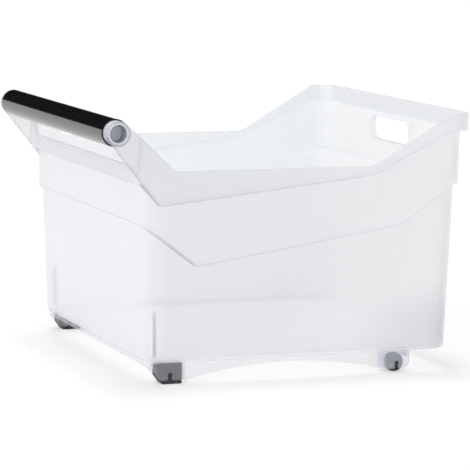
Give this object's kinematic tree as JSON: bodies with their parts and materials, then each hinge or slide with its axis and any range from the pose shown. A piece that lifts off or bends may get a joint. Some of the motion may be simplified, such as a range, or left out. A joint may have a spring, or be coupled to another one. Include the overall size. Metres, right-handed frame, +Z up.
{
  "type": "roll-out storage bin",
  "caption": "Open-topped translucent bin with a scooped rim, two forward arms that carry a black grip tube, a rear hand slot, front glide feet and rear rollers.",
  "frame": {"origin": "on the ground, midway between the sides and midway between the handle's front and the rear rim", "axes": "+Z up, +X across the bin to its right seen from behind the handle looking at the bin's front, -Y towards the handle"},
  "size_m": [0.398, 0.3955, 0.2675],
  "materials": {
    "clear_plastic": "translucent frosted polypropylene",
    "grip_black": "smooth glossy black tube",
    "plug_plastic": "translucent, slightly blue",
    "roller_black": "moulded black",
    "foot_black": "moulded black"
  },
  "bodies": {
    "tub": {"tub_shell": "clear_plastic", "grip_plug_right": "plug_plastic", "grip_plug_left": "plug_plastic", "front_foot_right": "foot_black", "front_foot_left": "foot_black"},
    "grip": {"grip_tube": "grip_black"},
    "roller_right": {"rear_roller_right": "roller_black"},
    "roller_left": {"rear_roller_left": "roller_black"}
  },
  "joints": [
    {"name": "grip_turn", "type": "hinge", "parent": "tub", "child": "grip", "pos_m": [0, -0.18375, 0.2535], "axis": [1, 0, 0], "continuous": true},
    {"name": "roller_right_spin", "type": "hinge", "parent": "tub", "child": "roller_right", "pos_m": [0.17702, 0.12, 0.0096], "axis": [1, 0, 0], "continuous": true},
    {"name": "roller_left_spin", "type": "hinge", "parent": "tub", "child": "roller_left", "pos_m": [-0.17702, 0.12, 0.0096], "axis": [1, 0, 0], "continuous": true}
  ]
}
